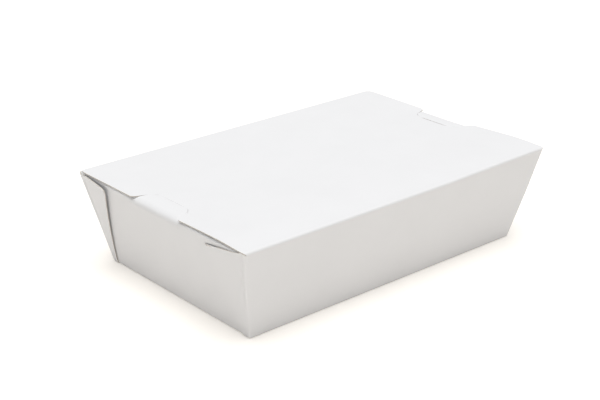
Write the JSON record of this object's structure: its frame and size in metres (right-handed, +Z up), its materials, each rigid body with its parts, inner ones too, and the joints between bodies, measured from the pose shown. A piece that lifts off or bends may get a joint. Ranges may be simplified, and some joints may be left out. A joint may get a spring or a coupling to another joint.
{
  "type": "takeaway food box",
  "caption": "Shallow tray with outward-leaning walls and a flat hinged lid, folded from one white board sheet and shut by a lock tab at each end.",
  "frame": {"origin": "on the table under the middle of the base, at the middle of the whole box in plan", "axes": "+X along the long walls to the right end, +Y to the back wall, away from the lid's crease, +Z up"},
  "size_m": [0.1822, 0.1208, 0.0463],
  "materials": {
    "white_board": "matt, uncoated white food board"
  },
  "bodies": {
    "carton": {"carton": "white_board"},
    "left_tab": {"left_lock_tab": "white_board"},
    "right_tab": {"right_lock_tab": "white_board"}
  },
  "joints": [
    {"name": "left_tab_fold", "type": "hinge", "parent": "carton", "child": "left_tab", "pos_m": [-0.08612, 0, 0.04479], "axis": [0, -1, 0], "range_deg": [0, 100]},
    {"name": "right_tab_fold", "type": "hinge", "parent": "carton", "child": "right_tab", "pos_m": [0.08612, 0, 0.04479], "axis": [0, 1, 0], "range_deg": [0, 100]}
  ]
}
